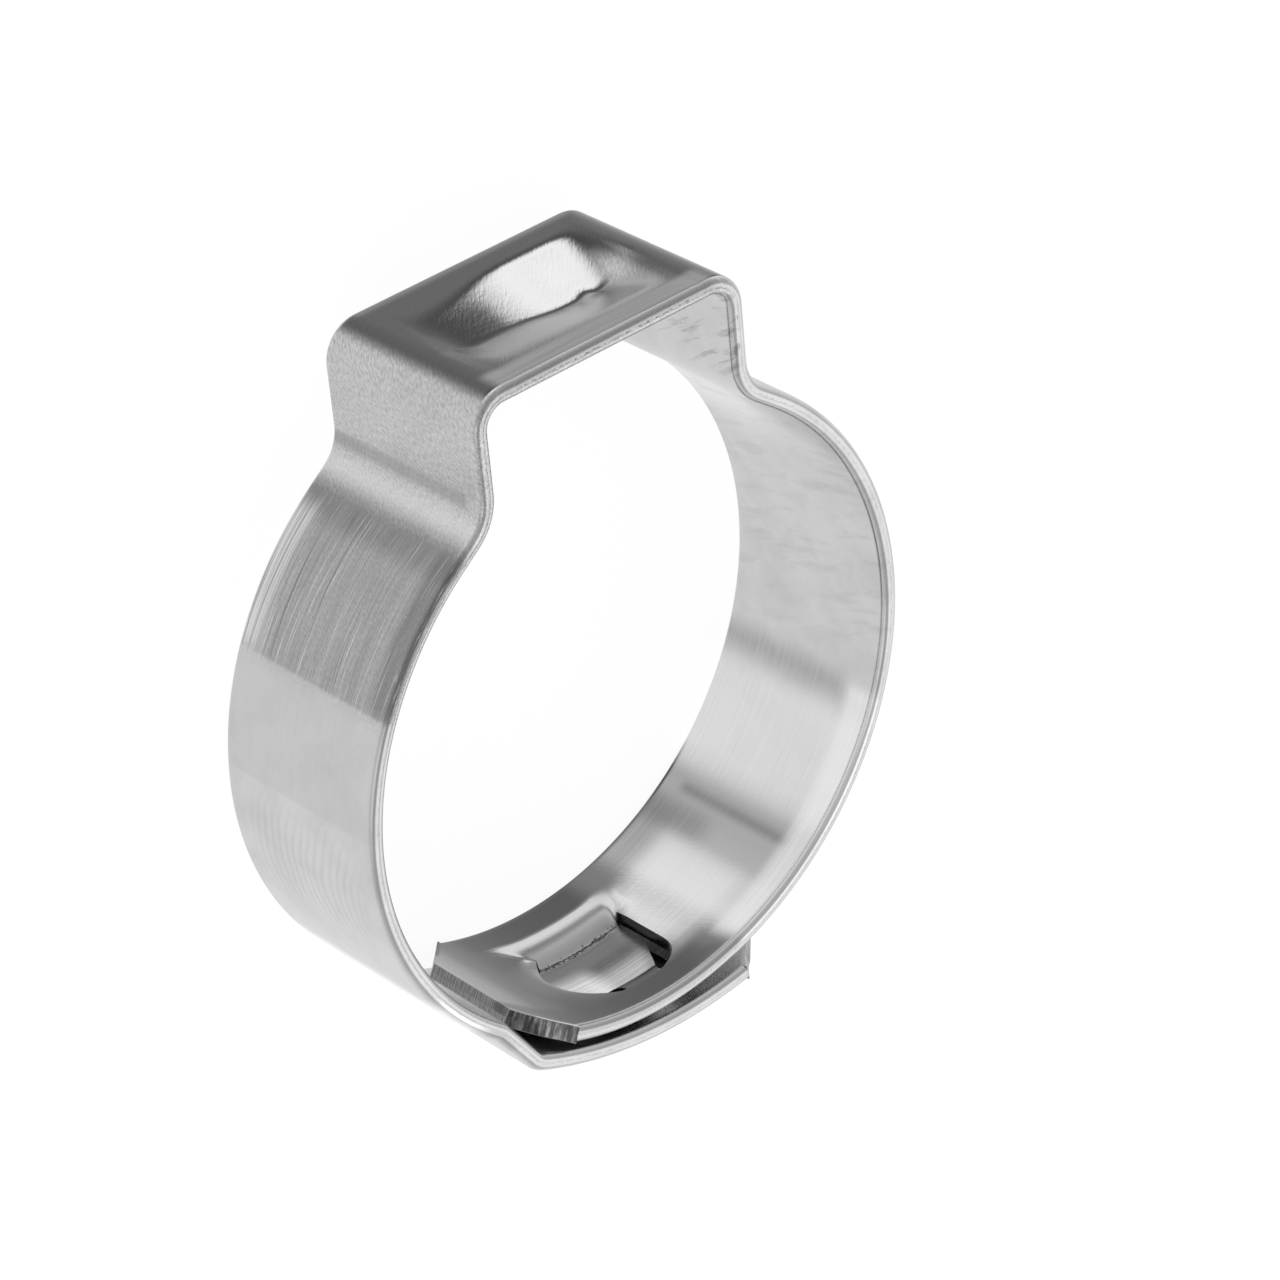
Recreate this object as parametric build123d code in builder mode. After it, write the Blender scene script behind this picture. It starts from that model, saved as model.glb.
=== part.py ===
"""Ear hose clamp, bent from one length of stainless steel strip.

The strip starts as the inner lap, runs once round the hose, rises over the ear,
comes down the other side and steps outwards to lie over its own beginning.
A bridge that is lanced and pressed through both laps locks them together.

The bore's axis is +Z, the ear points to +Y, and the rim that the clamp lies on
is in the plane Z = 0. Lap angles are measured from -Y towards +X.
"""
from build123d import *
from math import asin, atan2, cos, degrees, radians, sin, tan
import os

# strip
band_width = 7.0
band_thickness = 0.6
rim_crown = 0.1  # the rolled rims bulge by this much in the middle

# ring and ear
bore_diameter = 21.0
shoulder_angle = 53.0  # from +X to where each shoulder leaves the ring as a tangent
ear_inner_width = 9.7
ear_height = 2.75  # rise of the ear above the ring
ear_bend = 0.7  # inside radius of the two top corners
neck_bend = 1.4  # inside radius of the two reversed bends at the ear's feet

# laps
inner_end_angle = -30.3
ramp_slope = 26.0  # of the joggle that climbs over the strip's own end, against the ring there
ramp_gap = 0.06  # between the inner end's tip and the ramp
joggle_bend = 0.6
tail_radius = 15.0  # flatter than the ring, so the tail's tip stands off
tail_seat_angle = -18.0  # where the tail lies closest to the inner lap
tail_end_angle = 23.8
lap_gap = 0.25
end_chamfer = 1.65

# lock pressed through both laps
lock_angle = -2.0
lock_length = 4.2  # along the band
lock_span = 4.2  # across the band
lock_depth = 0.85
lock_slope = 45.0
lock_bend = 0.2
lance_gap = 0.12

# dimple pressed into the ear's top
dimple_length = 7.3
dimple_width = 4.3
dimple_corner = 1.2
dimple_depth = 0.9
valley_length = 4.9
valley_width = 0.5
valley_round = 0.2
dimple_lip = 0.9

# sizes that follow
half_band = band_width / 2
half_sheet = band_thickness / 2
ring_radius = bore_diameter / 2 + half_sheet
leg_x = ear_inner_width / 2 + half_sheet
ear_top = ring_radius + ear_height
shoulder = radians(shoulder_angle)
shoulder_reach = (ring_radius * cos(shoulder) - leg_x) / sin(shoulder)
foot_y = ring_radius * sin(shoulder) + shoulder_reach * cos(shoulder)
seat_radius = ring_radius + band_thickness + lap_gap
tail_offset = tail_radius - seat_radius
inner_split = 45.0  # the laps meet the hoop in plain stretches of ring
outer_split = -60.0
full_turn = 360.0


def around(angle, radius, centre=(0.0, 0.0)):
    """Point at a lap angle on a circle."""
    return (centre[0] + radius * sin(radians(angle)), centre[1] - radius * cos(radians(angle)))


def ring_arc(start, end, radius, centre=(0.0, 0.0)):
    """Arc between two lap angles."""
    return CenterArc(centre, radius, start - 90, end - start)


def lap_angle(point, centre=(0.0, 0.0)):
    """Lap angle of a point."""
    return degrees(atan2(point.X - centre[0], centre[1] - point.Y))


def tail_turn(angle):
    """The tail's own lap angle, about its own centre, at a lap angle about the bore."""
    return angle - degrees(asin(tail_offset / tail_radius * sin(radians(angle - tail_seat_angle))))


def reach(start, direction, centre, radius):
    """Distance along a line to where it last crosses a circle."""
    away = start - Vector(*centre)
    nearest = away.dot(direction)
    return (nearest**2 - away.dot(away) + radius**2) ** 0.5 - nearest


def section_plane(line):
    """Plane across the strip at the start of its centreline."""
    return Plane(origin=line @ 0, x_dir=(0, 0, 1), z_dir=line % 0)


def radial_plane(angle, centre=(0.0, 0.0)):
    """Plane through a lap's axis, with X outwards and Y along +Z."""
    outwards = (*around(angle, 1.0), 0.0)
    return Plane(origin=(*centre, 0), x_dir=outwards, z_dir=Vector(*outwards).cross(Vector(0, 0, 1)))


def tangent_plane(angle, radius, centre=(0.0, 0.0)):
    """Plane that touches a lap, with X along the strip and Y along +Z."""
    spot = (*around(angle, radius, centre), half_band)
    along = (cos(radians(angle)), sin(radians(angle)), 0)
    return Plane(origin=spot, x_dir=along, z_dir=Vector(*along).cross(Vector(0, 0, 1)))


def sheet_growth(run):
    """How far the underside of a dimple's wall lies outside its upper face, for a wall of that run."""
    return band_thickness * tan(atan2(dimple_depth, run) / 2)


tail_centre = around(tail_seat_angle, -tail_offset)
ramp_heading = Vector(1, 0).rotate(Axis.Z, inner_end_angle - ramp_slope)
ramp_side = Vector(0, -1).rotate(Axis.Z, inner_end_angle - ramp_slope)
ramp_point = Vector(*around(inner_end_angle, ring_radius + half_sheet)) + ramp_side * (half_sheet + ramp_gap)
ramp_start = ramp_point + ramp_heading * reach(ramp_point, ramp_heading, (0, 0), ring_radius)
ramp_end = ramp_point + ramp_heading * reach(ramp_point, ramp_heading, tail_centre, tail_radius)
centre_plane = Plane.XY.offset(half_band)

# the strip's own section, with its width along X
with BuildSketch() as strip_section:
    with BuildLine():
        bore_side = Line((rim_crown - half_band, -half_sheet), (half_band - rim_crown, -half_sheet))
        outside = Line((half_band - rim_crown, half_sheet), (rim_crown - half_band, half_sheet))
        ThreePointArc(bore_side @ 1, (half_band, 0), outside @ 0)
        ThreePointArc(outside @ 1, (-half_band, 0), bore_side @ 0)
    make_face()

# the lock's bridge runs across the band, and the outer one is wider by what nests in it
lock_run = lock_depth / tan(radians(lock_slope))
lock_lead = (lock_bend + band_thickness) * tan(radians(lock_slope / 2))
lock_spread = 2 * (band_thickness + lap_gap) * tan(radians(lock_slope / 2))
lock_turn = degrees(lock_length / ring_radius)
lance_turn = degrees(lance_gap / ring_radius)


def lock_steps(radius, span):
    """Middle of the bridge's sheet, as distance from the lap's axis and height."""
    foot = half_band - span / 2
    head = half_band + span / 2
    floor = radius + lock_depth
    return [
        (radius, foot - lock_lead),
        (radius, foot),
        (floor, foot + lock_run),
        (floor, head - lock_run),
        (radius, head),
        (radius, head + lock_lead),
    ]


# inner lap: the strip's beginning, on the bore circle
with BuildPart() as inner_lap:
    with BuildLine(centre_plane) as inner_line:
        ring_arc(inner_end_angle, inner_split, ring_radius)
    with BuildSketch(section_plane(inner_line.wire())):
        add(strip_section.sketch)
    sweep(path=inner_line.wire())
    with BuildSketch(tangent_plane(inner_end_angle, ring_radius)):
        with Locations((0, half_band), (0, -half_band)):
            Rectangle(end_chamfer * 2**0.5, end_chamfer * 2**0.5, rotation=45)
    extrude(amount=band_thickness, both=True, mode=Mode.SUBTRACT)
    with BuildSketch(radial_plane(lock_angle - lock_turn / 2 - lance_turn)):
        with Locations((ring_radius, half_band)):
            Rectangle(2 * band_thickness, lock_span + 2 * lock_lead)
    revolve(axis=Axis.Z, revolution_arc=lock_turn + 2 * lance_turn, mode=Mode.SUBTRACT)
    with BuildSketch(radial_plane(lock_angle - lock_turn / 2)):
        with BuildLine():
            FilletPolyline(*lock_steps(ring_radius, lock_span), radius=lock_bend + half_sheet)
        trace(line_width=band_thickness)
    revolve(axis=Axis.Z, revolution_arc=lock_turn)

# outer lap: joggle, then the tail over the inner lap, with the same lock around the first
tail_lock_start = tail_turn(lock_angle - lock_turn / 2)
tail_lock_turn = tail_turn(lock_angle + lock_turn / 2) - tail_lock_start
tail_axis = Axis((*tail_centre, 0), (0, 0, 1))
with BuildPart() as outer_lap:
    with BuildLine(centre_plane) as outer_line:
        low_ring = ring_arc(outer_split, lap_angle(ramp_start), ring_radius)
        tail = ring_arc(lap_angle(ramp_end, tail_centre), tail_turn(tail_end_angle), tail_radius, tail_centre)
        ramp = Line(low_ring @ 1, tail @ 0)
        fillet(ramp.vertices(), joggle_bend + half_sheet)
    with BuildSketch(section_plane(outer_line.wire())):
        add(strip_section.sketch)
    sweep(path=outer_line.wire())
    with BuildSketch(tangent_plane(tail_turn(tail_end_angle), tail_radius, tail_centre)):
        with Locations((0, half_band), (0, -half_band)):
            Rectangle(end_chamfer * 2**0.5, end_chamfer * 2**0.5, rotation=45)
    extrude(amount=band_thickness, both=True, mode=Mode.SUBTRACT)
    with BuildSketch(radial_plane(tail_lock_start - lance_turn, tail_centre)):
        with Locations((tail_radius, half_band)):
            Rectangle(2 * band_thickness, lock_span + lock_spread + 2 * lock_lead)
    revolve(axis=tail_axis, revolution_arc=tail_lock_turn + 2 * lance_turn, mode=Mode.SUBTRACT)
    with BuildSketch(radial_plane(tail_lock_start, tail_centre)):
        with BuildLine():
            FilletPolyline(*lock_steps(tail_radius, lock_span + lock_spread), radius=lock_bend + half_sheet)
        trace(line_width=band_thickness)
    revolve(axis=tail_axis, revolution_arc=tail_lock_turn)

# the dimple keeps the sheet's thickness, so its underside is wider than its mouth by these
ear_face = Plane(origin=(0, ear_top + half_sheet, half_band), x_dir=(1, 0, 0), z_dir=(0, 1, 0))
side_growth = sheet_growth((dimple_width - valley_width) / 2)
end_growth = sheet_growth((dimple_length - valley_length) / 2)

# the hoop between the laps, with the ear
with BuildPart() as clamp_band:
    with BuildLine(centre_plane) as hoop_line:
        right_ring = ring_arc(inner_split, 90 + shoulder_angle, ring_radius)
        left_ring = ring_arc(270 - shoulder_angle, outer_split + full_turn, ring_radius)
        FilletPolyline(
            right_ring @ 1,
            (leg_x, foot_y),
            (leg_x, ear_top),
            (-leg_x, ear_top),
            (-leg_x, foot_y),
            left_ring @ 0,
            radius=[neck_bend + half_sheet, ear_bend + half_sheet, ear_bend + half_sheet, neck_bend + half_sheet],
        )
    with BuildSketch(section_plane(hoop_line.wire())):
        add(strip_section.sketch)
    sweep(path=hoop_line.wire())
    with BuildSketch(ear_face.offset(-band_thickness)):
        RectangleRounded(dimple_length + 2 * end_growth, dimple_width + 2 * side_growth, dimple_corner)
    with BuildSketch(ear_face.offset(-dimple_depth - band_thickness)):
        RectangleRounded(valley_length + 2 * end_growth, valley_width + 2 * side_growth, valley_round)
    loft()
    with BuildSketch(ear_face):
        RectangleRounded(dimple_length, dimple_width, dimple_corner)
    with BuildSketch(ear_face.offset(-dimple_depth)):
        RectangleRounded(valley_length, valley_width, valley_round)
    loft(mode=Mode.SUBTRACT)
    ear_top_face = clamp_band.faces().filter_by(Axis.Y).sort_by(Axis.Y)[-1]
    fillet(ear_top_face.inner_wires()[0].edges(), dimple_lip)
    add(inner_lap.part)
    add(outer_lap.part)

clamp_band.part.label = "clamp_band"
os.makedirs("parts", exist_ok=True)
export_step(clamp_band.part, "parts/clamp_band.step")
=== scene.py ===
import math

import bmesh
import bpy
import numpy as np
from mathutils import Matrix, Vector


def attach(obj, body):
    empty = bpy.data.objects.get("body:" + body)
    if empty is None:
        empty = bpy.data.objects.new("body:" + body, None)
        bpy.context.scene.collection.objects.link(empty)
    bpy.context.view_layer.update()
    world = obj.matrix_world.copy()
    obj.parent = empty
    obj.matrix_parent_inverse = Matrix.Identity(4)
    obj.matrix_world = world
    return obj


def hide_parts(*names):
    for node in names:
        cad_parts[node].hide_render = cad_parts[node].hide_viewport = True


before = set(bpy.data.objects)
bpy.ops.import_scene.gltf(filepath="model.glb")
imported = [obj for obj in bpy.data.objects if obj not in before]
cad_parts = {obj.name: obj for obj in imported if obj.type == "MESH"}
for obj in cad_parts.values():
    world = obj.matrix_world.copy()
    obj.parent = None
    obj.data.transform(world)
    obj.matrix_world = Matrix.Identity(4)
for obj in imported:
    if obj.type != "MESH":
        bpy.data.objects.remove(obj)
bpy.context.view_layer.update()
mm = 0.001
touch = 1e-6  # places closer than this, in millimetres, are one

# all sizes below are in millimetres and degrees, turned to metres where a mesh is made
band = {
    "width": 7.0,
    "thickness": 0.6,
    "boreRadius": 10.5,
    "shoulderAngle": 53.0,  # from +X to where each shoulder leaves the ring
    "earInnerWidth": 9.7,
    "earHeight": 2.75,
    "earBend": 0.7,  # inside radii of the bends
    "neckBend": 1.4,
    "joggleBend": 0.6,
    "innerEnd": -30.3,  # lap angles, from -Y towards +X
    "rampSlope": 26.0,
    "rampGap": 0.06,
    "tailRadius": 15.0,
    "tailSeat": -18.0,
    "tailEnd": 23.8,
    "lapGap": 0.25,
    "endChamfer": 1.65,
}
lock = {
    "angle": -2.0,
    "length": 4.2,  # along the band
    "farFoot": 1.65,  # heights across the band where the inner bridge leaves the lap and comes back
    "nearFoot": 5.65,
    "farSlope": 52.0,
    "farDrop": 0.3,  # straight length of each slope
    "floorTilt": 8.0,
    "nearSlope": 48.0,
    "nearDrop": 0.42,
    "bend": 0.2,
    "ridgeBend": 0.75,
    "lanceGap": 0.12,
    "draw": 1.0,  # how far the far slope is drawn past the lanced ends
    "sag": 0.12,  # of the lap beside the lanced ends
    "sagReach": 1.3,
    "sagSpread": 0.7,  # below 1 the sag is broader than a sine
    "tipShare": 0.2,  # share of the depth that the lap keeps at the tips of the cuts
    "tipReach": 0.7,
    "nearPull": (1.6, 1.15),  # rounding of the window's near corners, left and right
    "nearSharpness": (2.6, 6),  # how late that rounding sets in on the lap
    "farPull": (0.85, 0.0),  # and of its far corners
    "farSharpness": 1.5,
    "pullReach": 2.1,
    "widest": 3.75,  # height where the window is longest
}
dimple = {
    # depth of the valley at places along the ear's top, from its middle towards +X
    "valleyDepths": ((-3.9, 0.0), (-3.0, 0.38), (-1.5, 0.5), (0.8, 0.93), (2.85, 0.97), (3.9, 0.0)),
    "endSlope": 0.5,
    "valley": (3.95, 3.5),  # heights across the band, at the left and at the right
    "farEdge": (1.95, 1.3),
    "nearEdge": 5.85,
    "farLip": 0.06,  # how much depth each rounded lip takes up
    "nearLip": 0.14,
    "valleyRound": 0.05,
    "blur": 0.4,  # half of the stretch over which the valley's depth is averaged
    "blurSteps": 9,
    "foldPlace": (2.2, 3.7),  # small fold at the deep end of the valley
    "foldReach": 0.3,
    "foldRise": 0.12,
}
meshing = {
    "step": 0.3,  # along the plain ring
    "fineStep": 0.1,  # over the ear
    "lapStep": 0.15,
    "rowStep": 0.14,  # across the band
    "rimRadius": 0.22,
    "shearedRadius": 0.03,  # on the end chamfers
    "rimSteps": 6,
    "groove": 0.015,  # along the middle of each rim
    "sharpAngle": 38.0,
    "weld": 1e-8,  # metres
}


def lapPoint(angle, radius, centre=(0.0, 0.0)):
    a = math.radians(angle)
    return np.array([centre[0] + radius * math.sin(a), centre[1] - radius * math.cos(a)])


def lapAngle(point, centre=(0.0, 0.0)):
    return math.degrees(math.atan2(point[0] - centre[0], centre[1] - point[1]))


def direction(heading):
    return np.array([math.cos(math.radians(heading)), math.sin(math.radians(heading))])


def crossing(start, heading, radius, centre=(0.0, 0.0)):
    # where a line last crosses a circle
    away = start - np.array(centre)
    along = direction(heading)
    nearest = away @ along
    return start + along * (math.sqrt(nearest**2 - away @ away + radius**2) - nearest)


class Walk:
    # a line bent from straight runs and arcs, each (length, turn in degrees), always tangent
    def __init__(self, start, heading, moves):
        self.starts, self.headings, self.points = [0.0], [math.radians(heading)], [np.array(start, float)]
        self.bends = []
        for length, turn in moves:
            bend = math.radians(turn) / length
            self.bends.append(bend)
            self.points.append(self.step(self.points[-1], self.headings[-1], bend, length))
            self.headings.append(self.headings[-1] + bend * length)
            self.starts.append(self.starts[-1] + length)
        self.length = self.starts[-1]

    @staticmethod
    def step(point, heading, bend, run):
        half = bend * run / 2
        chord = run * np.sinc(half / math.pi)
        return point + np.stack([chord * np.cos(heading + half), chord * np.sin(heading + half)], -1)

    def at(self, s):
        # place and heading (radians) at each distance along the line
        s = np.asarray(s, float)
        k = np.clip(np.searchsorted(self.starts, s, "right") - 1, 0, len(self.bends) - 1)
        run = s - np.array(self.starts)[k]
        bend = np.array(self.bends)[k]
        heading = np.array(self.headings)[k]
        return self.step(np.array(self.points)[k], heading, bend, run), heading + bend * run


halfSheet = band["thickness"] / 2
halfBand = band["width"] / 2
ringRadius = band["boreRadius"] + halfSheet
nestStep = band["thickness"] + band["lapGap"]  # from one lap to the next
tailOffset = band["tailRadius"] - ringRadius - nestStep


def arc(radius, turn):
    return (radius * math.radians(abs(turn)), turn)


def tailTurn(angle):
    # the tail's own lap angle, about its own centre
    lean = math.asin(tailOffset / band["tailRadius"] * math.sin(math.radians(angle - band["tailSeat"])))
    return angle - math.degrees(lean)


def stripLine():
    # the strip's centreline from the inner end, once round the hose, to the tail's end
    shoulder = math.radians(band["shoulderAngle"])
    legX = band["earInnerWidth"] / 2 + halfSheet
    reach = (ringRadius * math.cos(shoulder) - legX) / math.sin(shoulder)
    footY = ringRadius * math.sin(shoulder) + reach * math.cos(shoulder)
    neck = band["neckBend"] + halfSheet
    corner = band["earBend"] + halfSheet
    neckTangent = neck * math.tan(shoulder / 2)
    leg = ringRadius + band["earHeight"] - footY - neckTangent - corner
    rise = [(reach - neckTangent, 0), arc(neck, -band["shoulderAngle"]), (leg, 0), arc(corner, 90)]

    tailCentre = lapPoint(band["tailSeat"], -tailOffset)
    rampHeading = band["innerEnd"] - band["rampSlope"]
    outwards = direction(rampHeading - 90)
    joggle = band["joggleBend"] + halfSheet
    tip = lapPoint(band["innerEnd"], ringRadius + halfSheet) + outwards * (halfSheet + band["rampGap"])
    low = crossing(tip + outwards * joggle, rampHeading, ringRadius + joggle)
    high = crossing(tip - outwards * joggle, rampHeading, band["tailRadius"] - joggle, tailCentre)
    lowAngle, highAngle = lapAngle(low), lapAngle(high, tailCentre)
    moves = [arc(ringRadius, 90 + band["shoulderAngle"] - band["innerEnd"])]
    moves += rise + [(2 * (legX - corner), 0)] + rise[::-1]
    moves += [arc(ringRadius, 90 + lowAngle + band["shoulderAngle"])]
    moves += [arc(joggle, rampHeading - lowAngle)]
    moves += [((high - low) @ direction(rampHeading), 0)]
    moves += [arc(joggle, highAngle - rampHeading)]
    moves += [arc(band["tailRadius"], tailTurn(band["tailEnd"]) - highAngle)]
    return Walk(lapPoint(band["innerEnd"], ringRadius), band["innerEnd"], moves)


line = stripLine()
# where some of its stretches start
rightShoulder, rightLeg, earStart, earEnd = (line.starts[i] for i in (1, 3, 5, 6))
leftNeck, leftRing, joggleStart = (line.starts[i] for i in (8, 10, 11))
earMiddle = (earStart + earEnd) / 2


def tailDistance(angle):
    return line.length - band["tailRadius"] * math.radians(tailTurn(band["tailEnd"]) - tailTurn(angle))


def innerDistance(angle):
    return ringRadius * math.radians(angle - band["innerEnd"])


def lockBridge(distanceTo, nest):
    # where a bridge starts and ends along the band, and its line across it: the outer nests on the inner
    halfTurn = math.degrees(lock["length"] / ringRadius) / 2
    bend, ridge = lock["bend"] + halfSheet, lock["ridgeBend"] + halfSheet
    far, tilt, near = lock["farSlope"], lock["floorTilt"], lock["nearSlope"]
    low = lock["farFoot"] - (nest + ridge) * math.tan(math.radians(far / 2))
    high = lock["nearFoot"] + (nest + bend) * math.tan(math.radians(near / 2))
    farSide = [arc(ridge, far), (lock["farDrop"], 0), arc(bend, tilt - far)]
    nearSide = [arc(bend, -tilt - near), (lock["nearDrop"], 0), arc(bend, near)]
    taken = Walk((0, 0), 0, farSide).points[-1][0] + Walk((0, 0), tilt, nearSide).points[-1][0]
    floor = (high - low - taken) / math.cos(math.radians(tilt))
    path = Walk((0, 0), 0, farSide + [(floor, 0)] + nearSide)
    tearShare = (path.starts[2] + path.starts[3]) / 2 / path.length  # in the bend from far slope to floor
    return {
        "start": distanceTo(lock["angle"] - halfTurn),
        "end": distanceTo(lock["angle"] + halfTurn),
        "low": low,
        "high": high,
        "line": path,
        "tear": low + (high - low) * tearShare,
    }


bridges = [lockBridge(innerDistance, 0), lockBridge(tailDistance, nestStep)]


def stationMarks():
    marks = {*line.starts, band["endChamfer"], line.length - band["endChamfer"]}
    for bridge in bridges:
        marks |= {bridge["start"] - lock["lanceGap"], bridge["start"]}
        marks |= {bridge["end"], bridge["end"] + lock["lanceGap"]}
    return sorted(marks)


def stepAt(s):
    if rightLeg < s < leftNeck:
        return meshing["fineStep"]
    onLap = s < bridges[0]["end"] + lock["lanceGap"] or s > joggleStart
    return meshing["lapStep"] if onLap or rightShoulder < s < leftRing else meshing["step"]


def evenly(start, end, step):
    return np.linspace(start, end, max(1, math.ceil((end - start) / step - touch)) + 1)


# stations along the strip, each with its rim radius: rolled along the strip, sheared on the end chamfers
stations = []
marks = stationMarks()
for a, b in zip(marks, marks[1:]):
    onChamfer = b <= band["endChamfer"] or a >= line.length - band["endChamfer"]
    rim = meshing["shearedRadius"] if onChamfer else meshing["rimRadius"]
    places = evenly(a, b, stepAt((a + b) / 2))
    if stations and stations[-1][1] == rim:
        places = places[1:]
    stations += [(s, rim) for s in places]
along = np.array([s for s, rim in stations])

# rows across the strip, from one rim's middle to the other's
rowMarks = {meshing["rimRadius"], band["width"] - meshing["rimRadius"]}
for bridge in bridges:
    rowMarks |= {bridge["low"], bridge["tear"], bridge["high"]}
rowMarks = sorted(rowMarks)
flatRows = np.concatenate([evenly(a, b, meshing["rowStep"]) for a, b in zip(rowMarks, rowMarks[1:])])
flatRows = np.unique(flatRows.round(6))
rimTurns = np.radians(np.linspace(0, 90, meshing["rimSteps"] + 1))[:-1]


def section(s, rim):
    # the plain section at one station: offsets outwards and heights, for the outer and the inner face
    out = np.array([0.0, (halfSheet - rim) / 2, *(halfSheet - rim + rim * np.sin(rimTurns))])
    inset = np.array([meshing["groove"], meshing["groove"] / 3, *(rim - rim * np.cos(rimTurns))])
    offset = np.concatenate([out, np.full(len(flatRows), halfSheet), out[::-1]])
    height = np.concatenate([inset, flatRows, band["width"] - inset[::-1]])
    toEnd = min(s, line.length - s)
    narrowed = 1 - max(band["endChamfer"] - toEnd, 0) / halfBand
    shaped = halfBand + (height - halfBand) * narrowed
    return np.array([[offset, shaped], [-offset, shaped]]), np.array([[offset, height], [-offset, height]])


def smoothStep(x):
    x = np.clip(x, 0, 1)
    return x * x * (3 - 2 * x)


def softened(depth, lip):
    # zero above the surface, with a rounded lip
    return np.where(depth > lip, depth, np.where(depth < -lip, 0, (depth + lip) ** 2 / (4 * lip)))


def dimpleDepth(x, height):
    places, depths = zip(*dimple["valleyDepths"])
    past = np.maximum(places[0] - x, x - places[-1]).clip(0) * dimple["endSlope"]
    shifts = np.linspace(-dimple["blur"], dimple["blur"], dimple["blurSteps"])
    valley = np.mean([np.interp(x + shift, places, depths) for shift in shifts], 0) - past
    lean = smoothStep((x - places[1]) / (places[3] - places[1]))  # from the left line to the right one
    middle = dimple["valley"][0] + (dimple["valley"][1] - dimple["valley"][0]) * lean
    farEdge = dimple["farEdge"][0] + (dimple["farEdge"][1] - dimple["farEdge"][0]) * lean
    away = height - middle
    aside = np.sqrt(away**2 + dimple["valleyRound"] ** 2) - dimple["valleyRound"]
    wall = np.maximum(valley, 2 * dimple["farLip"])
    far = softened(valley - wall * aside / (middle - farEdge), dimple["farLip"])
    near = softened(valley - wall * aside / (dimple["nearEdge"] - middle), dimple["nearLip"])
    depth = far + (near - far) * smoothStep(away / (4 * dimple["valleyRound"]) + 0.5)
    foldX, foldHeight = dimple["foldPlace"]
    pinch = ((x - foldX) ** 2 + (height - foldHeight) ** 2) / dimple["foldReach"] ** 2
    return depth - dimple["foldRise"] * np.exp(-pinch)


def fading(distance, reach):
    return 1 - np.clip(distance / reach, 0, 1)


def press(bridge, s, offset, height):
    # pushes a bridge outwards: cut free along its ends past the tear, drawn from the lap before it
    low, high, tear, path = bridge["low"], bridge["high"], bridge["tear"], bridge["line"]
    start, end, gap = bridge["start"], bridge["end"], lock["lanceGap"]
    inside = (height > low - touch) & (height < high + touch)
    share = np.clip((height - low) / (high - low), 0, 1)
    place, tilt = path.at(share * path.length)
    sunk = place[..., 1] - path.points[-1][1] * share
    drawn = np.clip((tear - height) / (tear - low), 0, 1) * lock["draw"]
    rise = smoothStep((s - start + gap + drawn) / (gap + 2 * drawn))
    fall = smoothStep((end + gap + drawn - s) / (gap + 2 * drawn))
    beyond = np.maximum(start - s, s - end).clip(0)
    tip = (fading(height - tear, lock["tipReach"]) * fading(beyond, lock["tipReach"])) ** 2
    tip = np.where(height > tear - touch, tip * lock["tipShare"], 0)
    pressed = np.where(inside, np.maximum(rise * fall, tip), 0)
    newOffset = offset + pressed * (sunk + offset * np.cos(tilt) - offset)
    newHeight = height + pressed * (low + place[..., 0] - offset * np.sin(tilt) - height)

    # the lap sags beside the lanced ends
    across = np.sin(math.pi * share) ** lock["sagSpread"]
    newOffset += lock["sag"] * across * fading(beyond, lock["sagReach"]) ** 2 * (1 - rise * fall)

    # both sides of the cuts are pulled in towards the corners, at the near side the bridge's sooner
    onLeft = s < (start + end) / 2
    onBridge = (s > start - touch) & (s < end + touch)
    rising = np.clip((height - lock["widest"]) / (high - lock["widest"]), 0, 1)
    rising **= np.where(onBridge, 1, np.where(onLeft, *lock["nearSharpness"]))
    falling = np.clip((lock["widest"] - height) / (lock["widest"] - tear), 0, 1) ** lock["farSharpness"]
    pull = np.where(onLeft, *lock["nearPull"]) * rising + np.where(onLeft, *lock["farPull"]) * falling
    pull *= 1 - smoothStep((height - high) / (band["width"] - high))
    pull *= 1 - smoothStep((tear - height) / (tear - low))
    pull *= fading(np.minimum(abs(s - start), abs(s - end)), lock["pullReach"])
    return s + pull * np.where(onLeft, 1, -1), newOffset, newHeight


def sheetToWorld(s, offset, height):
    place, heading = line.at(s)
    return np.stack(
        [place[..., 0] + offset * np.sin(heading), place[..., 1] - offset * np.cos(heading), height], -1
    )


def stripPoints():
    # every vertex in the world, and its distance, offset and height on the flat strip in millimetres
    sections = [section(s, rim) for s, rim in stations]
    stack = np.array([shaped for shaped, flat in sections])  # station, face, offset or height, row
    flat = np.array([flat for shaped, flat in sections])
    offset, height = stack[:, :, 0], stack[:, :, 1]
    s = np.broadcast_to(along[:, None, None], offset.shape)
    sheet = np.stack([s, flat[:, :, 0], flat[:, :, 1]], -1)
    for bridge in bridges:
        s, offset, height = press(bridge, s, offset, height)
    fromEdge = (earEnd - earStart) / 2 - abs(s - earMiddle)
    onEar = smoothStep(fromEdge / (2 * meshing["step"]) + 0.5)
    offset = offset - onEar * dimpleDepth(earMiddle - s, height)
    return sheetToWorld(s, offset, height) * mm, sheet


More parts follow.
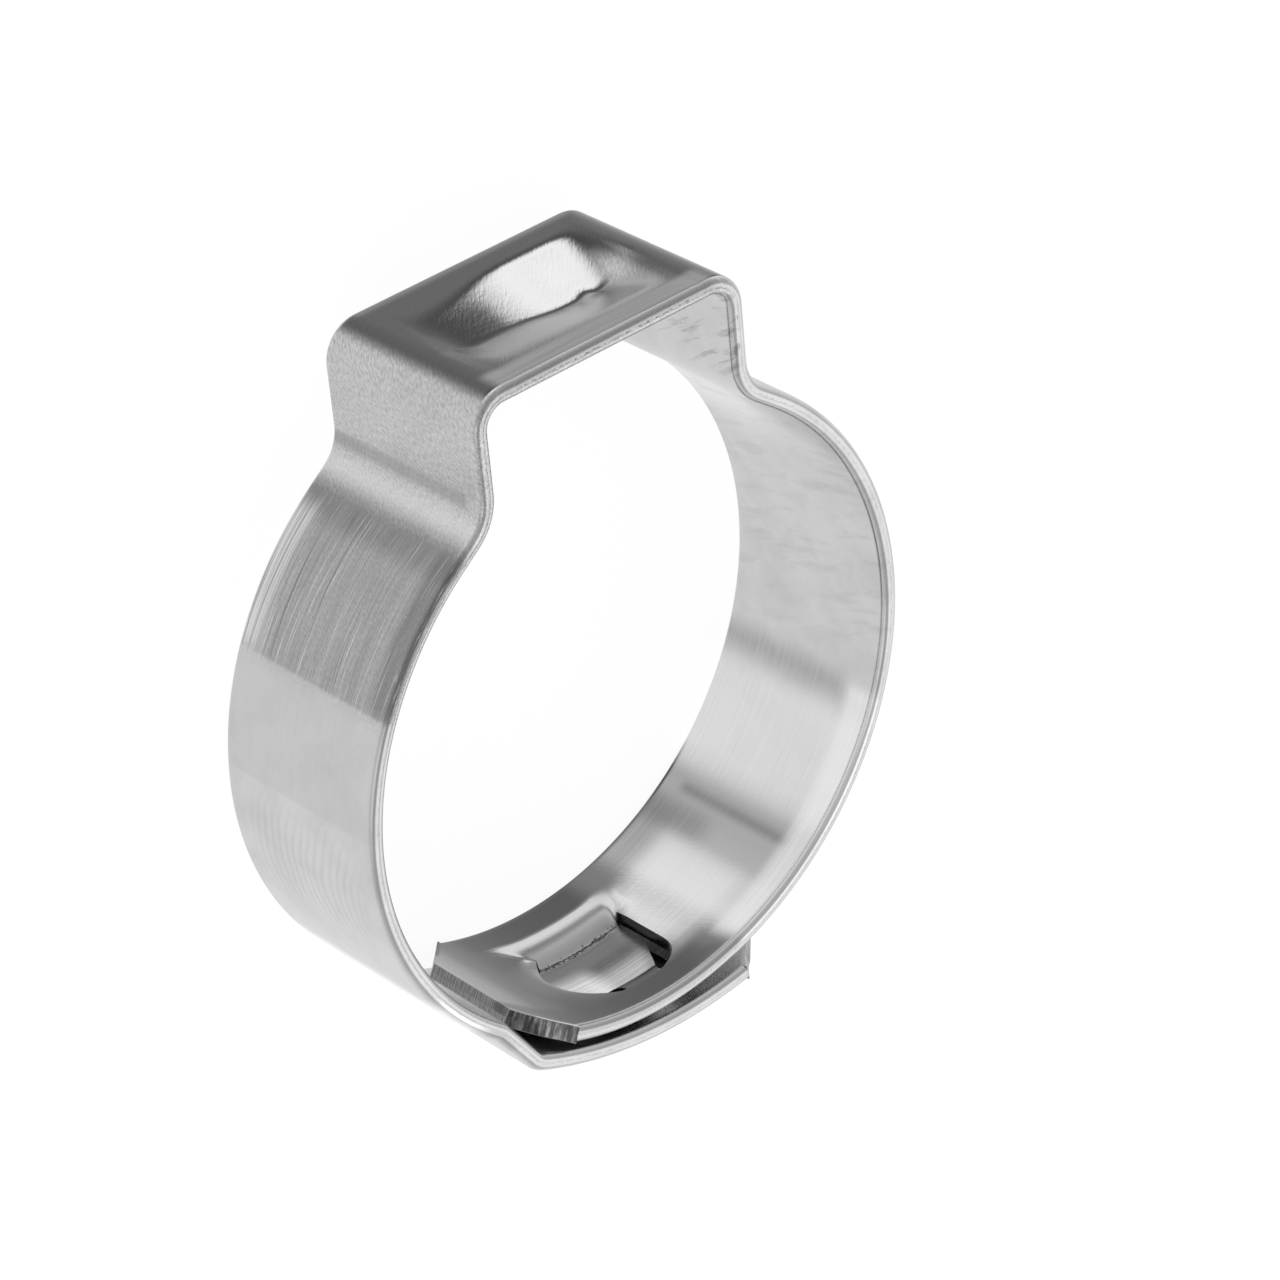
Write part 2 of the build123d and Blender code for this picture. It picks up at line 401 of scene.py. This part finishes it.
def stripFaces(rows):
    # the outer and the inner side, then the walls through the sheet: round the cuts and at both ends
    def index(i, face, j):
        return (i * 2 + face) * rows + j

    def wallAcross(i, j):
        return (index(i, 0, j), index(i, 0, j + 1), index(i, 1, j + 1), index(i, 1, j))

    def wallAlong(i, j):
        return (index(i, 0, j), index(i + 1, 0, j), index(i + 1, 1, j), index(i, 1, j))

    def skin(i, face, j):
        return (index(i, face, j), index(i + 1, face, j), index(i + 1, face, j + 1), index(i, face, j + 1))

    rowHeights = section(0, meshing["rimRadius"])[1][0, 1]
    void = np.zeros((len(along) - 1, rows - 1), bool)
    walls = []
    for bridge in bridges:
        low, high = (int(np.argmin(abs(rowHeights - bridge[edge]))) for edge in ("tear", "high"))
        for cut in (bridge["start"] - lock["lanceGap"], bridge["end"]):
            i = int(np.argmin(abs(along - cut)))
            void[i, low:high] = True
            walls += [wallAcross(k, j) for k in (i, i + 1) for j in range(low, high)]
            walls += [wallAlong(i, j) for j in (low, high)]
    walls += [wallAcross(i, j) for i in (0, len(along) - 1) for j in range(rows - 1)]
    spans = [(i, j) for i in range(len(along) - 1) for j in range(rows - 1) if not void[i, j]]
    return [skin(i, face, j) for face in (0, 1) for i, j in spans] + walls


def buildStrip():
    points, sheet = stripPoints()
    mesh = bpy.data.meshes.new("clampStrip")
    mesh.from_pydata(points.reshape(-1, 3).tolist(), [], stripFaces(points.shape[2]))
    sheetPlace = mesh.attributes.new("sheetPlace", "FLOAT_VECTOR", "POINT")
    sheetPlace.data.foreach_set("vector", sheet.astype(np.float32).ravel())
    bm = bmesh.new()
    bm.from_mesh(mesh)
    bmesh.ops.remove_doubles(bm, verts=bm.verts, dist=meshing["weld"])
    bmesh.ops.recalc_face_normals(bm, faces=bm.faces)
    bm.to_mesh(mesh)
    bm.free()
    mesh.shade_smooth()
    mesh.set_sharp_from_angle(angle=math.radians(meshing["sharpAngle"]))
    strip = bpy.data.objects.new("clampStrip", mesh)
    bpy.context.scene.collection.objects.link(strip)
    return strip


strip = buildStrip()
print("strip:", len(strip.data.vertices), "vertices", len(strip.data.polygons), "faces")
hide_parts("clamp_band")
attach(strip, "root")

# sizes in millimetres and places on the flat strip, along it from the inner end and across it
steel = {
    "roughness": 0.27,
    "plain": "#cecdce",
    # the torn colour also paints the shade on the sides of the lock's cuts
    "tear": "#464546",
    "cut": "#5e5d5e",
    "parting": "#807f80",
    "mottle": "#8e8d8e",
    "scuff": "#6b6a6b",
    "scratch": "#f4f3f4",
    "peelDepth": 0.0022,
    "stretchedPeel": 3.0,  # times deeper on the ear
    "streakDepth": 0.0016,
    "uneven": (0.7, 1.2),  # times a painted patch's share, least and most, by the rolling lines
    "unevenNoise": (0.3, 0.7),  # values of their noise that give the least and the most
    "cutDepth": (0.29, 0.27),  # from the sheet's middle, where a cut face ends at the surface
    "tearEdges": (0.36, 0.58),  # of the torn line, from where the lock's cuts end
    "tearWander": 0.9,
    "tearEnds": 0.4,
    "partingShare": 0.25,  # of the parting line's strength, off the ear
    "facing": (0.72, 0.95),  # how far a face has to look the ear's way
    "sloping": (0.03, 0.1),  # tilt across the band that counts as a slope
    "hair": 0.01,  # a hard edge
}
# Noise: its spacings along the strip, through the sheet and across it, the values that fade it in, and the
# top that it rises to. Real stretched grain is a few hundredths of a millimetre wide and rolling lines are
# finer still: both are drawn as coarse as they need to be to show
patterns = {
    "grain": {"spacing": (0.35, 0.1, 0.1), "turn": -50},
    "streaks": {"spacing": (8.0, 0.07, 0.07), "detail": 5.0, "roughness": 0.7},
    "clouds": {"spacing": (1.8, 1.0, 1.5), "turn": 35, "detail": 5.0, "edges": (0.4, 0.8), "top": 0.26},
    "speckle": {"spacing": (0.17, 0.06, 0.06), "turn": -50, "detail": 2.0, "edges": (0.4, 0.66), "top": 0.6},
    "scuffs": {
        "spacing": (0.3, 0.4, 2.2), "turn": 30, "detail": 5.0, "roughness": 0.65,
        "edges": (0.54, 0.66), "top": 0.55,
    },
    "smears": {"spacing": (0.45, 1.0, 2.2), "turn": 18, "detail": 4.0, "edges": (0.5, 0.75), "top": 0.3},
    "shearLines": {"spacing": (0.08, 1.2, 0.08), "edges": (0.62, 0.42), "top": 0.75},
    "roughShear": {"spacing": (0.08, 1.2, 0.08), "edges": (0.8, 0.3)},
    "rag": {"spacing": (0.16, 0.16, 0.16), "detail": 5.0, "roughness": 0.7},
    "partingWidth": {"spacing": (0.2, 0.07, 0.07), "roughness": 0.7, "edges": (0.5, 0.75), "top": 0.08},
}
scratches = {  # on the drawn part of the left band, by colour
    "scratch": {"spacing": (6.0, 0.05, 0.05), "turn": 4, "edges": (0.57, 0.69), "top": 0.7},
    "mottle": {"spacing": (6.0, 0.035, 0.035), "turn": 1, "edges": (0.52, 0.64), "top": 0.7},
    "scuff": {"spacing": (6.0, 0.035, 0.035), "edges": (0.56, 0.68), "top": 0.7},
}
fingerprint = {
    "centre": (65.0, 0.0, 9.0),
    "heights": (1.0, 6.0, 0.8),  # from, to, softness
    "rings": 0.95,
    "distortion": 5.0,
    "detail": 0.5,
    "edges": (0.4, 0.9),
    "top": 0.14,
}
# parts of the strip with a finish of their own, and the bore's bottom where painted reflections go: from,
# to, softness
zones = {
    "bottom": (-1.0, 14.0, 0.3),
    "smeared": (19.5, 31.0, 1.0),
    "rightLeg": (34.8, 38.6, 0.5),
    "worked": (38.0, 58.3, 0.5),
    "stretched": (38.0, 52.0, 1.0),
    "ear": (38.9, 46.8, 0.3),
    "drawn": (53.0, 58.1, 0.3),
    "print": (62.8, 69.5, 1.0),
}
# A white floor close by fills every wall with one light grey, so what a room would show in the steel is laid
# in as
# painted reflections: greys by which way a face looks, with painted highlights among them. First the ear's
# top, by how far it tilts across the band
paintedEarReflections = [
    (-0.5, "#adacad"), (-0.3, "#a2a1a2"), (-0.17, "#8e8d8e"), (-0.08, "#636263"), (0.0, "#5b5a5b"),
    (0.12, "#4a494a"), (0.2, "#424142"), (0.25, "#7c7b7c"), (0.31, "#d9d8d9"), (0.36, "#f3f2f3"),
    (0.55, "#c9c8c9"),
]
# the lock's slopes, in the same way
paintedLockReflections = [
    (-0.3, "#3c3b3c"), (-0.1, "#666566"), (-0.03, "#727172"), (0.06, "#9a999a"), (0.13, "#d6d5d6"),
    (0.25, "#dcdbdc"), (0.45, "#cccbcc"), (0.8, "#bab9ba"),
]
# and the bore's bottom, by how far it tilts along the band
paintedLapReflections = [
    (-0.68, "#b9b8b9"), (-0.62, "#a9a8a9"), (-0.56, "#aeadae"), (-0.5, "#b4b3b4"), (-0.44, "#cccbcc"),
    (-0.34, "#d6d5d6"), (-0.24, "#7d7c7d"), (-0.1, "#5a595a"), (0.1, "#5a595a"), (0.28, "#5f5e5f"),
    (0.38, "#747374"), (0.46, "#9a999a"), (0.6, "#cdcccd"),
]
# painted reflections, highlights and shade: along the strip, across it, softness, outside or not, colour,
# share
paintedLightPatches = [
    # painted reflections darken the ear's rims; a painted highlight and painted shade lie in the dents in
    # its top
    ((38.6, 47.1), (6.05, 7.2), 0.2, True, "#a3a2a3", 0.75),
    ((38.6, 47.1), (-0.2, 0.4), 0.15, True, "#8f8e8f", 0.6),
    ((40.2, 41.4), (1.8, 2.9), 0.3, True, "#f7f6f7", 0.35),
    ((43.9, 45.8), (2.4, 3.9), 0.35, True, "#3a393a", 0.55),
    # painted reflections and highlights on the left leg and neck, then the left band
    ((50.7, 51.25), (-1, 6.3), 0.18, True, "#8a898a", 0.6),
    ((51.6, 52.4), (-1, 8), 0.3, True, "#dddcdd", 0.5),
    ((52.7, 53.7), (-1, 8), 0.4, True, "#605f60", 0.65),
    ((52.9, 58.15), (-1, 8), 0.06, True, "#8c8b8c", 0.55),
    ((53.4, 58.1), (-1, 0.9), 0.45, True, "#e6e5e6", 0.75),
    ((53.0, 58.1), (6.2, 8), 0.35, True, "#666566", 0.55),
    ((58.15, 62.05), (-1, 8), 0.1, True, "#b5b4b5", 0.35),
    ((69.2, 71.4), (-1, 8), 0.6, True, "#fbfafb", 0.9),
    ((71.9, 73.4), (-1, 8), 0.3, True, "#aaa9aa", 0.5),
    # painted reflections and highlights inside the ring, between the lock and the right leg
    ((12.5, 12.8), (1.0, 6.2), 0.25, False, "#6f6e6f", 0.7),
    ((11.3, 11.9), (-2, 2.9), 0.75, False, "#5c5b5c", 0.75),
    ((13.4, 17.4), (-1, 8), 0.5, False, "#e9e8e9", 0.55),
    ((7.4, 10.8), (1.8, 5.4), 0.6, False, "#efeeef", 0.55),
    ((17.8, 18.7), (-1, 5.6), 0.5, False, "#838283", 0.5),
    ((7.5, 11.8), (-1, 1.4), 0.5, False, "#7f7e7f", 0.6),
    ((9.0, 18.5), (5.9, 8), 0.3, False, "#f3f2f3", 0.6),
    ((28.0, 33.0), (-1, 3.5), 1.2, False, "#f3f2f3", 0.5),
    # painted highlights and shade inside the lock, and painted shade beside it along the rims
    ((3.2, 5.2), (3.4, 5.0), 0.45, False, "#f3f2f3", 0.75),
    ((4.5, 7.2), (3.9, 5.0), 0.4, False, "#f3f2f3", 0.5),
    ((-1, 8.5), (5.7, 6.75), 0.25, False, "#5b5a5b", 0.6),
    ((3.0, 7.6), (2.2, 3.3), 0.25, False, "#8b8a8b", 0.45),
    # painted shade between the laps, where light hardly gets in
    ((76.6, 83.4), (0.9, 6.1), 0.4, False, "#3a393a", 0.75),
]


def linear(hexColour):
    channels = [int(hexColour[i:i + 2], 16) / 255 for i in (1, 3, 5)]
    return [c / 12.92 if c <= 0.04045 else ((c + 0.055) / 1.055) ** 2.4 for c in channels] + [1.0]


def node(tree, kind, values=()):
    # values are the node's own settings, and for its inputs nodes or sockets to link, or numbers
    made = tree.nodes.new(kind)
    for name, value in dict(values).items():
        if isinstance(value, bpy.types.Node):
            value = value.outputs[0]
        if isinstance(value, bpy.types.NodeSocket):
            tree.links.new(value, made.inputs[name])
        elif isinstance(name, str) and hasattr(made, name):
            setattr(made, name, value)
        else:
            made.inputs[name].default_value = value
    return made


def newMaterial(name):
    material = bpy.data.materials.new(name)
    material.use_nodes = True
    material.node_tree.nodes.clear()
    return material, material.node_tree


def within(tree, value, start, end, soft):
    # 1 between two values, fading over soft to both sides of each
    rise = node(tree, "ShaderNodeMapRange", {
        "interpolation_type": "SMOOTHSTEP", "Value": value,
        "From Min": start - soft, "From Max": start + soft,
    })
    return node(tree, "ShaderNodeMapRange", {
        "interpolation_type": "SMOOTHSTEP", "Value": value,
        "From Min": end - soft, "From Max": end + soft, "To Min": rise, "To Max": 0.0,
    })


def tones(tree, value, stops):
    # grey tones at given values, eased between
    first, last = stops[0][0], stops[-1][0]
    shift = node(tree, "ShaderNodeMapRange", {"Value": value, "From Min": first, "From Max": last})
    tone = node(tree, "ShaderNodeValToRGB", {0: shift})
    tone.color_ramp.interpolation = "EASE"
    while len(tone.color_ramp.elements) < len(stops):
        tone.color_ramp.elements.new(1.0)
    for element, (at, colour) in zip(tone.color_ramp.elements, stops):
        element.position = (at - first) / (last - first)
        element.color = linear(colour)
    return tone


def over(tree, under, colour, *shares):
    # a colour laid over what is under it, by all of its shares multiplied
    share, *others = shares
    for other in others:
        share = node(tree, "ShaderNodeMath", {"operation": "MULTIPLY", 0: share, 1: other})
    if isinstance(colour, str):
        colour = linear(colour)
    return node(tree, "ShaderNodeMix", {"data_type": "RGBA", 0: share, 6: under, 7: colour}).outputs[2]


def noise(tree, place, spacing, turn=0.0, detail=3.0, roughness=0.6, edges=None, top=1.0):
    # noise with its own spacing and turn in the sheet, faded in from the first edge to the second
    scaled = node(tree, "ShaderNodeMapping", {
        "vector_type": "TEXTURE", "Vector": place, "Rotation": (0, math.radians(turn), 0), "Scale": spacing,
    })
    made = node(tree, "ShaderNodeTexNoise", {
        "Vector": scaled, "Scale": 1.0, "Detail": detail, "Roughness": roughness,
    })
    if edges:
        made = node(tree, "ShaderNodeMapRange", {
            "Value": made, "From Min": edges[0], "From Max": edges[1], "To Max": top,
        })
    return made


def rolledStainless():
    # rolled 304 strip, bent and pressed: satin bright, with grain that opens where the sheet was stretched,
    # and with reflections, highlights and shade painted into its colour
    material, tree = newMaterial("rolledStainlessSteel")
    hair = steel["hair"]
    place = node(tree, "ShaderNodeAttribute", {"attribute_name": "sheetPlace"}).outputs["Vector"]
    distance, offset, height = node(tree, "ShaderNodeSeparateXYZ", {0: place}).outputs
    outside = node(tree, "ShaderNodeMapRange", {"Value": offset, "From Min": -hair, "From Max": hair})
    inside = node(tree, "ShaderNodeMath", {"operation": "SUBTRACT", 0: 1.0, 1: outside})
    zone = {name: within(tree, distance, *limits) for name, limits in zones.items()}
    pattern = {name: noise(tree, place, **settings) for name, settings in patterns.items()}

    # relief: stretched grain, deeper on the ear and its legs, and the rolling lines
    deeper = node(tree, "ShaderNodeMapRange", {
        "Value": zone["stretched"], "To Min": 1.0, "To Max": steel["stretchedPeel"],
    })
    grain = node(tree, "ShaderNodeMath", {"operation": "MULTIPLY", 0: pattern["grain"], 1: deeper})
    peel = node(tree, "ShaderNodeBump", {"Distance": steel["peelDepth"] * mm, "Height": grain})
    relief = node(tree, "ShaderNodeBump", {
        "Distance": steel["streakDepth"] * mm, "Height": pattern["streaks"], "Normal": peel,
    })

    # the steel's own colour, with faint clouds, and mottled where it was worked
    base = over(tree, linear(steel["plain"]), steel["mottle"], pattern["clouds"])
    base = over(tree, base, steel["mottle"], pattern["speckle"], zone["worked"])

    # painted reflections: what a room would show in the steel, on the ear's top and in the bore's bottom
    lean, up, lift = node(tree, "ShaderNodeSeparateXYZ", {0: relief}).outputs
    low, high = steel["facing"]
    facing = node(tree, "ShaderNodeMapRange", {
        "interpolation_type": "SMOOTHSTEP", "Value": up, "From Min": low, "From Max": high,
    })
    tilt = node(tree, "ShaderNodeMath", {"operation": "ABSOLUTE", 0: lift})
    low, high = steel["sloping"]
    sloping = node(tree, "ShaderNodeMapRange", {"Value": tilt, "From Min": low, "From Max": high})
    lap = over(tree, tones(tree, lean, paintedLapReflections), tones(tree, lift, paintedLockReflections), sloping)
    base = over(tree, base, tones(tree, lift, paintedEarReflections), facing, outside)
    base = over(tree, base, lap, inside, zone["bottom"])

    # painted reflections, highlights and shade in patches, uneven along the rolling lines
    low, high = steel["unevenNoise"]
    least, most = steel["uneven"]
    uneven = node(tree, "ShaderNodeMapRange", {
        "Value": pattern["streaks"], "From Min": low, "From Max": high, "To Min": least, "To Max": most,
    })
    for (start, end), (low, high), soft, onOutside, colour, share in paintedLightPatches:
        alongIt = within(tree, distance, start, end, soft)
        acrossIt = within(tree, height, low, high, soft)
        base = over(tree, base, colour, alongIt, acrossIt, uneven, outside if onOutside else inside, share)

    # scratches on the drawn part of the left band, dark scuffs inside the right leg, smears inside the ring
    for colour, settings in scratches.items():
        base = over(tree, base, steel[colour], noise(tree, place, **settings), zone["drawn"], outside)
    base = over(tree, base, steel["scuff"], pattern["scuffs"], zone["rightLeg"], inside)
    base = over(tree, base, steel["mottle"], pattern["smears"], zone["smeared"], inside)

    # a fingerprint's ridges on the left band
    skin = node(tree, "ShaderNodeVectorMath", {"operation": "SUBTRACT", 0: place, 1: fingerprint["centre"]})
    rings = node(tree, "ShaderNodeTexWave", {
        "wave_type": "RINGS", "rings_direction": "Y", "Vector": skin, "Scale": fingerprint["rings"],
        "Distortion": fingerprint["distortion"], "Detail Scale": fingerprint["detail"],
    })
    low, high = fingerprint["edges"]
    ridges = node(tree, "ShaderNodeMapRange", {
        "Value": rings.outputs["Fac"], "From Min": low, "From Max": high, "To Max": fingerprint["top"],
    })
    printHeight = within(tree, height, *fingerprint["heights"])
    base = over(tree, base, steel["mottle"], ridges, outside, zone["print"], printHeight)

    # cut faces at the strip's ends, rougher on the chamfers
    middle = node(tree, "ShaderNodeMath", {"operation": "ABSOLUTE", 0: offset})
    low, high = steel["cutDepth"]
    cutFace = node(tree, "ShaderNodeMapRange", {"Value": middle, "From Min": low, "From Max": high})
    uncut = within(tree, distance, band["endChamfer"], line.length - band["endChamfer"], hair)
    atEnds = node(tree, "ShaderNodeMath", {"operation": "SUBTRACT", 0: 1.0, 1: uncut})
    chamfers = within(tree, distance, 2 * hair, line.length - 2 * hair, hair)
    base = over(tree, base, steel["cut"], cutFace, atEnds, pattern["shearLines"])
    base = over(tree, base, steel["tear"], cutFace, atEnds, chamfers, pattern["roughShear"])

    # the torn line inside the lock, and the sides of its cuts painted dark as the shade inside them
    ragged = node(tree, "ShaderNodeMath", {
        "operation": "MULTIPLY_ADD", 0: pattern["rag"], 1: steel["tearWander"], 2: height,
    })
    for bridge in bridges:
        low, high = (bridge["tear"] + edge for edge in steel["tearEdges"])
        torn = within(tree, ragged, low, high, 6 * hair)
        onBridge = within(tree, distance, bridge["start"], bridge["end"], steel["tearEnds"])
        base = over(tree, base, steel["tear"], torn, onBridge, inside)
        opened = within(tree, height, bridge["tear"], bridge["high"], hair)
        for cut in (bridge["start"] - lock["lanceGap"], bridge["end"]):
            side = within(tree, distance, cut - hair, cut + lock["lanceGap"] + hair, hair / 2)
            base = over(tree, base, steel["tear"], side, opened, cutFace)

    # the parting line that slitting left along the rims, broken up, and fainter off the ear
    parted = node(tree, "ShaderNodeMath", {"operation": "LESS_THAN", 0: middle, 1: pattern["partingWidth"]})
    share = node(tree, "ShaderNodeMapRange", {"Value": zone["ear"], "To Min": steel["partingShare"]})
    base = over(tree, base, steel["parting"], parted, share)

    shader = node(tree, "ShaderNodeBsdfPrincipled", {
        "Metallic": 1.0, "Roughness": steel["roughness"], "Base Color": base, "Normal": relief,
    })
    node(tree, "ShaderNodeOutputMaterial", {"Surface": shader})
    return material


strip.data.materials.append(rolledStainless())
print("material: rolled stainless steel")

studio = {
    "floor": "#ffffff",
    "room": "#ffffff",
    "shadow": 0.14,  # share of the floor's light that the lamps give, so that the shadow shows
    "glow": 1.08,
    "floorSize": 4.0,
    "floorDrop": 0.02,  # millimetres, so that the floor doesn't meet the rim in one plane
    "horizon": 0.95,
    "zenith": 0.5,
    "zenithHeight": 0.9,
    "softboxes": [
        # toward, distance, size, power
        ((0.54, -0.54, 0.65), 0.5, 0.3, 0.22),
        ((-0.6, -0.2, 0.75), 0.5, 0.25, 0.12),
    ],
}


def cameraOrMirror(tree):
    # 1 where the floor is seen or mirrored, 0 where it would light the clamp
    path = node(tree, "ShaderNodeLightPath")
    seen = path.outputs["Is Camera Ray"]
    for ray in ("Is Glossy Ray", "Is Transmission Ray"):
        seen = node(tree, "ShaderNodeMath", {"operation": "MAXIMUM", 0: seen, 1: path.outputs[ray]})
    return seen


def makeFloor():
    bpy.ops.mesh.primitive_plane_add(size=studio["floorSize"], location=(0, 0, -studio["floorDrop"] * mm))
    floor = bpy.context.object
    floor.name = "studioFloor"
    # white background paper, matt and lit evenly: it glows a little, so that only a faint shadow shows
    material, tree = newMaterial("whitePaperFloor")
    paper = node(tree, "ShaderNodeBsdfDiffuse", {"Color": linear(studio["floor"])})
    glow = node(tree, "ShaderNodeEmission", {"Color": linear(studio["floor"]), "Strength": studio["glow"]})
    glowing = 1 - studio["shadow"]
    share = node(tree, "ShaderNodeMath", {"operation": "MULTIPLY", 0: cameraOrMirror(tree), 1: glowing})
    mix = node(tree, "ShaderNodeMixShader", {0: share, 1: paper, 2: glow})
    node(tree, "ShaderNodeOutputMaterial", {"Surface": mix})
    floor.data.materials.append(material)


def makeWorld():
    world = bpy.data.worlds.new("studioWorld")
    bpy.context.scene.world = world
    world.use_nodes = True
    tree = world.node_tree
    tree.nodes.clear()
    view = node(tree, "ShaderNodeTexCoord")
    rise = node(tree, "ShaderNodeSeparateXYZ", {0: view.outputs["Generated"]})
    dome = node(tree, "ShaderNodeMapRange", {
        "interpolation_type": "SMOOTHSTEP", "Value": rise.outputs["Z"], "From Max": studio["zenithHeight"],
        "To Min": studio["horizon"], "To Max": studio["zenith"],
    })
    room = node(tree, "ShaderNodeBackground", {"Color": linear(studio["room"]), "Strength": dome})
    node(tree, "ShaderNodeOutputWorld", {"Surface": room})


def makeLamps():
    for i, (toward, distance, size, power) in enumerate(studio["softboxes"]):
        lamp = bpy.data.lights.new(f"softbox{i + 1}", "AREA")
        lamp.size = size
        lamp.energy = power
        holder = bpy.data.objects.new(lamp.name, lamp)
        direct = Vector(toward).normalized()
        holder.location = direct * distance
        holder.rotation_euler = (-direct).to_track_quat("-Z", "Y").to_euler()
        bpy.context.scene.collection.objects.link(holder)


makeFloor()
makeWorld()
makeLamps()
print("studio: floor, world and", len(studio["softboxes"]), "softboxes")

viewpoint = {
    "place": (-84.57, 87.27, 109.48),
    "turn": (-28.403, -42.265, -6.087),
    "lens": 143.4,
    "sensor": 36.0,
    "clipStart": 1.0,
}


def makeCamera():
    camera = bpy.data.cameras.new("mainView")
    camera.lens = viewpoint["lens"]
    camera.sensor_width = viewpoint["sensor"]
    camera.clip_start = viewpoint["clipStart"] * mm
    holder = bpy.data.objects.new("mainView", camera)
    holder.location = [v * mm for v in viewpoint["place"]]
    holder.rotation_euler = [math.radians(turn) for turn in viewpoint["turn"]]
    bpy.context.scene.collection.objects.link(holder)
    bpy.context.scene.camera = holder


makeCamera()
bpy.context.scene.view_settings.view_transform = "Standard"
print("camera: placed")
